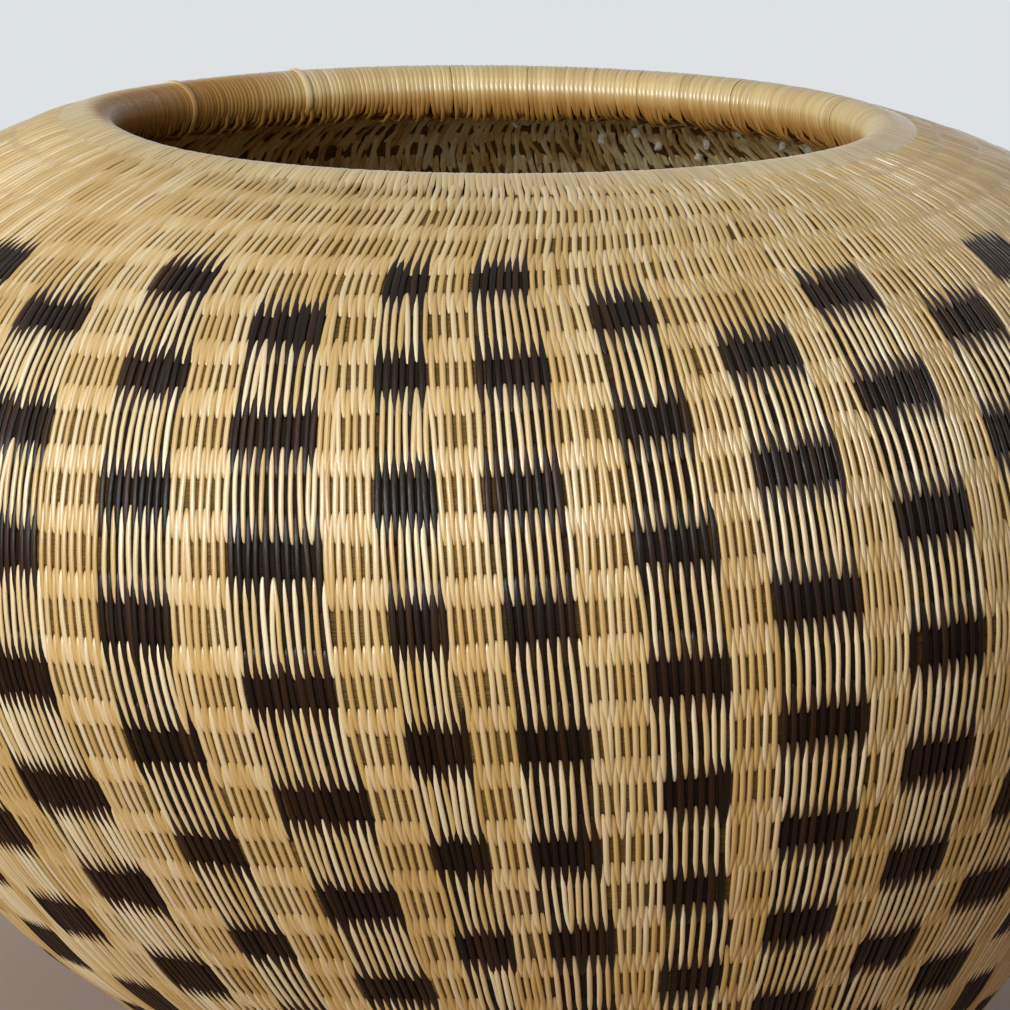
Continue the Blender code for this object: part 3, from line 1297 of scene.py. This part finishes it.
@dataclass(frozen=True)
class Sewing:
    """The stitches over one face of the coil, each reaching into both next rows.

    Its half lists run from a stitch's middle to its ends: places, widths and depths.
    """

    form: BodyForm
    lattice: StitchLattice
    face: Face
    width: float = 1.22 * MM
    width_spread: float = 0.1
    thickness: float = 0.66 * MM
    reach: float = 3.8 * MM
    reach_spread: float = 0.5 * MM
    waver: float = 0.12 * MM
    bow_share: float = 0.6
    slack: float = 0.10 * MM
    lean_power: float = 1.6
    half_places: Floats = (0.0, 0.34, 0.64, 0.82, 0.93, 1.0)
    half_widths: Floats = (1.0, 1.0, 1.0, 0.94, 0.70, 0.30)
    half_depths: Floats = (0.0, 0.06 * MM, 0.24 * MM, 0.44 * MM, 0.67 * MM, 1.1 * MM)
    least_arc: float = 1.0 * MM
    least_radius: float = 2.0 * MM
    tone_evenness: float = 2.2
    column_tone: float = 0.3
    dyed_swell: float = 1.26
    plain_swell: float = 1.07
    lining_swell: float = 1.05
    lining_unevenness: float = 4.5
    seed: int = 11

    def strands(self, picked: Array) -> Strands:
        """Lay the picked stitches.

        Args:
            picked: Indices of stitches in the lattice.

        Returns:
            Their strands.
        """
        every = self.lattice.turns
        count = len(every)
        lining = self.face is Face.INNER
        rough = self.lining_unevenness if lining else 1.0
        in_column = self.lattice.checker.in_column(every)
        rng = np.random.default_rng(self.seed + lining)
        shift = rng.normal(0, rough * self.waver, count)
        slack = np.abs(rng.normal(0, rough * self.slack, count))
        widen = rng.uniform(1 - self.width_spread, 1 + self.width_spread, count)
        widen = widen * (self.lining_swell if lining else 1.0)
        widen = widen * np.where(self.lattice.checker.is_dyed(every), self.dyed_swell, 1.0)
        widen = widen * np.where(in_column, 1.0, self.plain_swell)
        reach_more = rough * rng.uniform(-self.reach_spread, self.reach_spread, (count, 2))
        bow = rng.normal(0, self.bow_share * rough * self.waver, count)
        tone = rng.beta(self.tone_evenness, self.tone_evenness, count)
        tone = tone + self.column_tone * in_column
        above, below = (self.lattice.leads(every, way) for way in (1, -1))
        turns, shift, slack, widen, bow, above, below = (
            values[picked][:, None] for values in (every, shift, slack, widen, bow, above, below)
        )
        place = mirrored(self.half_places, -1.0)
        low, high = self.form.band(turns)
        reach = self.reach + np.where(place < 0, reach_more[picked, :1], reach_more[picked, 1:])
        arc = (low + high) / 2 + place * ((high - low) / 2 + reach)
        arc = np.clip(arc, self.least_arc, self.form.rim_touch_arc)
        ease = np.abs(place) ** self.lean_power
        turn = turns + (np.where(place > 0, above, below) - turns) * ease
        side = shift * (1 - ease) + bow * np.sin(math.pi * place)
        angle = FULL_TURN * turn + side / np.maximum(self.form.radius_at(arc), self.least_radius)
        depth = mirrored(self.half_depths) + slack * (1 - ease)
        if lining:
            depth = self.form.wall_thickness - depth
        crown, outward = self.form.face(angle, arc, depth)
        width = self.width * widen * mirrored(self.half_widths)
        out = -outward if lining else outward
        return Strands(crown, out, width, self.thickness, tone[picked])


@dataclass(frozen=True)
class StartKnot:
    """The tight spiral of wound strand at the base's middle, seen on both faces."""

    form: BodyForm
    pitch: float = 1.35 * MM
    overlap: float = 1.04
    inner_radius: float = 0.9 * MM
    steps_per_turn: int = 24
    thickness: float = 0.6 * MM
    tone: float = 0.5
    core_gap: float = 0.1 * MM
    core_taper: float = 0.9
    core_sides: int = 48

    def build(self, face: Face) -> bpy.types.Object:
        """Wind one face of the knot.

        Args:
            face: Which face.

        Returns:
            The wound strand.
        """
        inside = face is Face.INNER
        turns_needed = (self.form.knot_radius - self.pitch / 2 - self.inner_radius) / self.pitch
        steps = round(turns_needed * self.steps_per_turn)
        turn = np.linspace(0.0, turns_needed, steps + 1)
        radius = self.inner_radius + self.pitch * turn
        x = radius * np.sin(FULL_TURN * turn)
        y = -radius * np.cos(FULL_TURN * turn)
        z = np.full_like(turn, self.form.wall_thickness if inside else 0.0)
        crown = np.stack([x, y, z], axis=-1)[None]
        outward = np.broadcast_to(np.array([0.0, 0.0, 1.0 if inside else -1.0]), crown.shape)
        width = np.full(crown.shape[:2], self.pitch * self.overlap)
        strands = Strands(crown, outward, width, self.thickness, np.array([self.tone]))
        return strands.piece(f"knot_{face.value}_winding")

    def core(self) -> bpy.types.Object:
        """Fill the knot with its fibre, a drum between the two windings.

        Returns:
            The drum.
        """
        around = np.linspace(0, FULL_TURN, self.core_sides, endpoint=False)
        reach = self.form.knot_radius - self.core_gap
        floor = self.thickness / 2
        top = self.form.wall_thickness - floor
        taper = self.core_taper * reach
        radius = np.array([taper, reach, reach, taper])[:, None]
        height = np.array([floor, 2 * floor, top - floor, top])[:, None]
        ring = np.broadcast_arrays(radius * np.sin(around), -radius * np.cos(around), height)
        rings = np.stack(ring, axis=-1)[None]
        return loft("knot_core", rings, {"stain": np.zeros(rings.shape[:3])}, rings / MM)


@dataclass(frozen=True)
class Rim:
    """The rim: a fibre bundle wound closely with strand, in spliced lengths.

    A turn of strand comes up over the crown's face, goes round the roll, hangs loose
    under it and ends behind the topmost stitches of the inner face. The lists that
    start with face, loose and lining give its stations there, one entry for each.
    Place waver and sway are shares of the pitch.
    """

    form: BodyForm
    splice_shares: Floats = (0.056, 0.181, 0.314, 0.385, 0.579, 0.641, 0.833)
    raised_shares: Floats = (0.585, 0.650)
    open_seam_shares: Floats = (0.314, 0.385)
    pitch: float = 1.22 * MM
    place_waver: float = 0.06
    sway: float = 0.25
    width: float = 1.30 * MM
    width_spread: float = 0.06
    start_widths: Floats = (0.35, 0.8)
    end_widths: Floats = (0.92, 0.8, 0.7, 0.62, 0.55, 0.35)
    thickness: float = 0.50 * MM
    section: StrandSection = StrandSection(down_shares=(1.0, 0.34, 0.10, 0.0, 0.10, 0.34, 1.0))
    tone_evenness: float = 4.0
    sink_waver: float = 0.05 * MM
    raise_by: float = 0.42 * MM
    raised_swell: float = 1.35
    raised_tone: float = 1.4
    seam_width: float = 0.5 * MM
    tail: float = 10.0 * MM
    face_backs: Floats = (1.0, 0.75, 0.45, 0.2)
    face_depths: Floats = (1.1 * MM, 0.45 * MM, 0.2 * MM, 0.05 * MM)
    wrap: float = math.radians(132.0)
    wrap_waver: float = math.radians(4.0)
    wrap_stations: int = 15
    drift: float = 1.6 * MM
    hang: tuple[float, float] = (0.1 * MM, 2.4 * MM)
    loose_wraps: Floats = (math.radians(232.0), math.radians(264.0))
    loose_drifts: Floats = (0.15, 0.4)
    loose_hangs: Floats = (0.5, 1.0)
    lining_reach: float = 15.0 * MM
    lining_reach_spread: float = 3.0 * MM
    lining_downs: Floats = (0.45, 0.72, 1.0)
    lining_stands: Floats = (2.4 * MM, 1.2 * MM, -1.0 * MM)
    lining_hang: float = 0.3
    # Painted shade: where the strand turns under the roll, and on the inner face of the rim's left
    # side.
    underside_shade_start: float = math.radians(155.0)
    underside_shade_span: float = math.radians(60.0)
    side_shade_from: float = math.radians(205.0)
    side_shade_to: float = math.radians(295.0)
    side_shade_edge: float = math.radians(20.0)
    side_shade_wrap: float = math.radians(75.0)
    side_shade_wrap_span: float = math.radians(45.0)
    side_shade_strength: float = 0.9
    core_shade: float = 0.6
    core_steps: int = 360
    core_sides: int = 20
    seed: int = 5

    def laid(self, first: float, last: float, rng: np.random.Generator) -> tuple[Array, ...]:
        """Lay the strand's turns side by side from one splice to the next.

        Args:
            first: Share of a turn at which the strand starts.
            last: Share of a turn at which it stops.
            rng: Source of its unevenness.

        Returns:
            Each turn's angle round the axis, its tone, how deep it sinks and its swell.
        """
        seam = self.seam_width if first in self.open_seam_shares else 0.0
        radius = self.form.rim_radius
        count = max(2, round((FULL_TURN * (last - first) * radius - seam) / self.pitch))
        start = FULL_TURN * first + seam / radius
        angle = start + (FULL_TURN * last - start) * (np.arange(count) + 0.5) / count
        angle = angle + rng.normal(0, self.place_waver * self.pitch, count) / radius
        tone = rng.beta(self.tone_evenness, self.tone_evenness, count)
        sink = np.abs(rng.normal(0, self.sink_waver, count))
        swell = np.ones(count)
        for share in self.raised_shares:
            if first <= share < last:
                nearest = np.abs(angle - FULL_TURN * share).argmin()
                sink[nearest] = -self.raise_by
                tone[nearest] = self.raised_tone
                swell[nearest] = self.raised_swell
        return angle, tone, sink, swell

    def strands(self, first: float, last: float, seed: int) -> tuple[Strands, Array]:
        """Wind the strand from one splice to the next.

        Args:
            first: Share of a turn at which it starts.
            last: Share of a turn at which it stops.
            seed: Seed of its unevenness.

        Returns:
            The wound strand, each turn as one strand, and how much painted shade darkens it along
            each.
        """
        form = self.form
        rng = np.random.default_rng(seed)
        angle, tone, sink, swell = self.laid(first, last, rng)
        count = len(angle)
        angle, sink, swell = (values[:, None] for values in (angle, sink, swell))
        wrap = self.wrap + rng.normal(0.0, self.wrap_waver, count)[:, None]
        hang = rng.uniform(*self.hang, count)[:, None]
        wraps = form.roll_touch + wrap * np.linspace(0.0, 1.0, self.wrap_stations)
        sway = rng.normal(0, self.sway * self.pitch, count)[:, None] / form.rim_radius
        drift = rng.normal(0.0, self.drift, count)[:, None] / form.rim_radius
        spread = self.lining_reach_spread
        reach = self.lining_reach + rng.uniform(-spread, spread, count)[:, None]
        back = np.array(self.face_backs)
        down = np.array(self.lining_downs)
        face = form.face(
            angle + sway * back,
            form.rim_touch_arc - self.tail * back,
            np.array(self.face_depths) + sink * (1 - back),
        )
        roll = form.roll(angle, wraps, form.rim_roll_radius - sink)
        loose = form.roll(
            angle + drift * np.array(self.loose_drifts),
            np.array(self.loose_wraps),
            form.rim_roll_radius + hang * np.array(self.loose_hangs),
        )
        lining = form.face(
            angle + drift * down,
            form.top_arc - reach * down,
            form.wall_thickness + np.array(self.lining_stands) + self.lining_hang * hang,
        )
        crown = np.concatenate([face[0], roll[0], loose[0], lining[0]], axis=1)
        outward = np.concatenate([face[1], roll[1], loose[1], -lining[1]], axis=1)
        shares = np.ones(crown.shape[1])
        shares[: len(self.start_widths)] = self.start_widths
        shares[-len(self.end_widths) :] = self.end_widths
        swell = swell * rng.uniform(1 - self.width_spread, 1 + self.width_spread, (count, 1))
        width = self.width * swell * shares
        # Painted shade: none on the crown's face, full where the strand hangs under the roll and lies
        # on the inner face.
        before = np.zeros((count, len(self.face_backs)))
        behind = np.ones((count, len(self.loose_wraps) + len(self.lining_downs)))
        age = np.concatenate([before, self.age(angle, wraps), behind], axis=1)
        return Strands(crown, outward, width, self.thickness, tone, self.section), age

    def age(self, angle: Array, wraps: Array) -> Array:
        """Say how much painted shade darkens the strand round the roll: on the inner face of the left
        side, and where it turns under.

        Args:
            angle: Each turn's angle round the axis.
            wraps: Its stations' angles round the roll.

        Returns:
            0 for no painted shade, 1 for the most.
        """
        angle = np.mod(angle, FULL_TURN)
        # Painted shade: the left side's inner face, and the roll's underside, are darkened.
        side_shade = smoothstep((angle - self.side_shade_from) / self.side_shade_edge)
        side_shade = side_shade * smoothstep((self.side_shade_to - angle) / self.side_shade_edge)
        inner = smoothstep((wraps - self.side_shade_wrap) / self.side_shade_wrap_span)
        underside_shade = smoothstep((wraps - self.underside_shade_start) / self.underside_shade_span)
        return np.maximum(self.side_shade_strength * side_shade * inner, underside_shade)

    def build(self) -> list[tuple[str, bpy.types.Object]]:
        """Wind every length of strand.

        Returns:
            Each node's name with its piece.
        """
        made = []
        stops = (*self.splice_shares[1:], self.splice_shares[0] + 1)
        for number, (first, last) in enumerate(zip(self.splice_shares, stops), 1):
            strands, age = self.strands(first, last, self.seed + number)
            made.append((f"rim_binding_{number}", strands.piece(f"winding_{number}", age=age)))
        return made

    def core(self) -> bpy.types.Object:
        """Fill the winding with its bundle of fibre, darkened as painted shade.

        Returns:
            The bundle.
        """
        turn = np.linspace(0.0, FULL_TURN, self.core_steps + 1)[:, None]
        wrap = np.linspace(0.0, FULL_TURN, self.core_sides, endpoint=False)
        radius = self.form.rim_roll_radius - self.thickness
        rings, _ = self.form.roll(turn, wrap, radius)
        along = turn * self.form.rim_radius
        grain = np.stack(np.broadcast_arrays(wrap * radius, along, 0.0), axis=-1) / MM
        # Painted shade: the bundle deep inside the winding is darkened.
        stain = np.full((1, *rings.shape[:2]), self.core_shade)
        return loft("rim_core", rings[None], {"stain": stain}, grain[None])


@dataclass(frozen=True)
class CutEnds:
    """Cut ends of strand that stand out of the inner face under the rim.

    Each place is an angle in degrees and how many millimetres it lies under the top.
    """

    form: BodyForm
    places: tuple[tuple[float, float], ...] = (
        *((200.5, 18.0), (185.5, 7.0), (175.5, 22.0), (165.5, 34.0), (161.5, 30.0)),
        *((159.5, 40.0), (155.5, 46.0), (154.0, 38.0), (148.0, 24.0), (144.0, 36.0)),
        *((139.5, 32.0), (22.0, 26.0), (305.0, 33.0), (262.0, 21.0), (96.0, 29.0)),
    )
    length: float = 1.7 * MM
    station_shares: Floats = (-1.0, 0.0, 0.6, 1.0)
    width: float = 2.0 * MM
    width_shares: Floats = (0.8, 1.0, 1.0, 0.85)
    thickness: float = 1.4 * MM
    slant: float = 0.6
    sideways_slant: float = 0.5
    face_lift: float = 0.35
    face_waver: float = 0.35
    tone: float = 1.4
    seed: int = 3

    def build(self) -> bpy.types.Object:
        """Make the cut ends as one piece.

        Returns:
            The piece.
        """
        rng = np.random.default_rng(self.seed)
        count = len(self.places)
        degrees, under = np.array(self.places).T[:, :, None]
        out = np.array(self.station_shares) * self.length
        aside = rng.uniform(-self.sideways_slant, self.sideways_slant, (count, 1))
        crown, _ = self.form.face(
            np.radians(degrees) + aside * out / self.form.rim_radius,
            self.form.top_arc - under * MM + self.slant * out,
            self.form.wall_thickness + out,
        )
        skew = rng.normal(0, self.face_waver, (count, 1, 3))
        outward = unit(unit(-crown * (1.0, 1.0, 0.0)) + (0.0, 0.0, self.face_lift) + skew)
        width = np.broadcast_to(self.width * np.array(self.width_shares), crown.shape[:2])
        tone = np.full(count, self.tone)
        return Strands(crown, outward, width, self.thickness, tone).piece("cut_ends")


@dataclass(frozen=True)
class AreaLamp:
    """A soft lamp aimed at the basket."""

    name: str
    place: tuple[float, float, float]
    width: float
    height: float
    power: float
    colour: Colour = (1.0, 1.0, 1.0)

    def build(self, target: Vector) -> None:
        """Hang the lamp.

        Args:
            target: The point that it faces.
        """
        data = bpy.data.lights.new(self.name, "AREA")
        data.shape = "RECTANGLE"
        data.size = self.width
        data.size_y = self.height
        data.energy = self.power
        data.color = self.colour
        lamp = show(self.name, data)
        lamp.location = self.place
        lamp.rotation_euler = (target - lamp.location).to_track_quat("-Z", "Y").to_euler()


@dataclass(frozen=True)
class Studio:
    """The floor and backdrop, soft lamps, and the camera at the photograph's angle."""

    lamps: tuple[AreaLamp, ...] = (
        AreaLamp("key", (-1.51, -1.8, 0.95), 0.8, 0.8, 36.0, (0.91, 0.97, 1.0)),
        AreaLamp("front", (-0.8, -2.2, 0.68), 0.7, 0.7, 17.0, (0.82, 0.93, 1.0)),
        AreaLamp("high", (-0.63, -1.35, 1.85), 1.0, 1.0, 11.5, (1.0, 0.92, 0.80)),
        AreaLamp("back", (0.7, 1.6, 0.8), 0.5, 0.5, 1.5, (1.0, 1.0, 1.0)),
    )
    target: tuple[float, float, float] = (-0.02, 0.0, 0.14)
    floor_colour: Colour = (0.52, 0.355, 0.26)
    floor_mottle_colour: Colour = (0.44, 0.40, 0.36)
    floor_mottle: float = 0.12
    floor_mottle_scale: float = 3.0
    floor_roughness: float = 0.6
    wall_colour: Colour = (0.73, 0.76, 0.78)
    ambient: float = 0.085
    ambient_colour: Colour = (1.0, 0.965, 0.90)
    camera_place: tuple[float, float, float] = (-0.0149, -2.0083, 0.5080)
    camera_pitch: float = math.radians(10.342)
    lens: float = 307.1
    sensor: float = 36.0
    view_depth: float = 20.0
    floor_half_width: float = 4.0
    floor_front: float = -5.0
    floor_back: float = 1.1
    floor_drop: float = 0.5 * MM

    def build(self) -> None:
        """Set the whole studio up."""
        for lamp in self.lamps:
            lamp.build(Vector(self.target))
        self.set_world()
        self.add_floor()
        self.add_camera()
        bpy.context.scene.view_settings.view_transform = "Standard"

    def set_world(self) -> None:
        """Light from all round, and the wall's colour where the camera looks past the floor."""
        world = bpy.data.worlds.new("studio")
        bpy.context.scene.world = world
        nodes = Nodes(world)
        camera, glossy, through = (
            nodes.node("ShaderNodeLightPath", output=f"Is {ray} Ray")
            for ray in ("Camera", "Glossy", "Transmission")
        )
        seen = camera + glossy + through
        seen = seen.math("MINIMUM", seen, 1.0)
        ambient = {"Color": (*self.ambient_colour, 1.0), "Strength": self.ambient}
        light = nodes.node("ShaderNodeBackground", {}, ambient)
        wall = nodes.node("ShaderNodeBackground", {}, {"Color": (*self.wall_colour, 1.0)})
        mixed = nodes.node("ShaderNodeMixShader", {}, {0: seen, 1: light, 2: wall})
        nodes.node("ShaderNodeOutputWorld", {}, {"Surface": mixed})

    def add_floor(self) -> None:
        """Lay the floor, just under the basket."""
        half = self.floor_half_width
        front = self.floor_front
        back = self.floor_back
        mesh = bpy.data.meshes.new("floor")
        corners = [(-half, front), (half, front), (half, back), (-half, back)]
        mesh.from_pydata([(x, y, -self.floor_drop) for x, y in corners], [], [(0, 1, 2, 3)])
        shader = Shader("floor")
        tint = shader.patches(self.floor_mottle_scale) * self.floor_mottle
        colour = shader.blend(tint, self.floor_colour, self.floor_mottle_colour)
        shader.finish(colour, self.floor_roughness, None)
        mesh.materials.append(shader.material)
        show("floor", mesh)

    def add_camera(self) -> None:
        """Set the camera up where the photograph was taken from."""
        data = bpy.data.cameras.new("camera")
        data.lens = self.lens
        data.sensor_width = self.sensor
        data.sensor_fit = "HORIZONTAL"
        data.clip_end = self.view_depth
        camera = show("camera", data)
        camera.location = self.camera_place
        camera.rotation_euler = (math.pi / 2 - self.camera_pitch, 0.0, 0.0)
        bpy.context.scene.camera = camera


@dataclass
class Basket:
    """The whole basket."""

    form: BodyForm = field(default_factory=BodyForm)
    checker: Checker = field(default_factory=Checker)

    def build(self) -> None:
        """Build every piece and dress it."""
        straw = StrawFinish().material()
        dyed = DyedFinish().material()
        # Lining material, with painted light from inside the basket.
        wear_and_painted_light = LiningFinish().material()
        fibre = FibreFinish().material()
        wound = RimFinish().material()
        lattice = StitchLattice(self.form, self.checker)
        outer = Sewing(self.form, lattice, Face.OUTER)
        inner = Sewing(self.form, lattice, Face.INNER)
        bundle = Bundle(self.form, self.checker)
        black = self.checker.is_dyed(lattice.turns)
        LOG.info("%d stitches, %d of them black", len(black), black.sum())
        lengths = CoilPlan(self.form).lengths()
        for number, length in enumerate(lengths):
            first = length.first if number else 0.0
            last = length.last if number < len(lengths) - 1 else self.form.last_turn
            here = (lattice.turns >= first) & (lattice.turns < last)
            nodes = [length.node]
            attach(bundle.build(length), fibre, nodes)
            pale = np.flatnonzero(here & ~black)
            attach(outer.strands(pale).piece(f"stitches_{length.node}"), straw, nodes)
            every = np.flatnonzero(here)
            attach(inner.strands(every).piece(f"lining_{length.node}"), wear_and_painted_light, nodes)
            dark = np.flatnonzero(here & black)
            if len(dark):
                attach(outer.strands(dark).piece(f"dyed_{length.node}"), dyed, nodes)
        knot = StartKnot(self.form)
        for face in Face:
            attach(knot.build(face), straw, ["start_knot"])
        attach(knot.core(), fibre, ["start_knot"])
        rim = Rim(self.form)
        attach(rim.core(), fibre, ["rim_bundle"])
        for node, piece in rim.build():
            attach(piece, wound, [node])
        ends = CutEnds(self.form).build()
        attach(ends, CutFinish().material(), [lengths[-1].node])


def main() -> None:
    """Build the studio and the basket."""
    logging.basicConfig(level=logging.INFO, format="%(name)s: %(message)s")
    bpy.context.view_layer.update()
    Studio().build()
    Basket().build()
    bpy.context.view_layer.update()


if __name__ == "__main__":
    main()
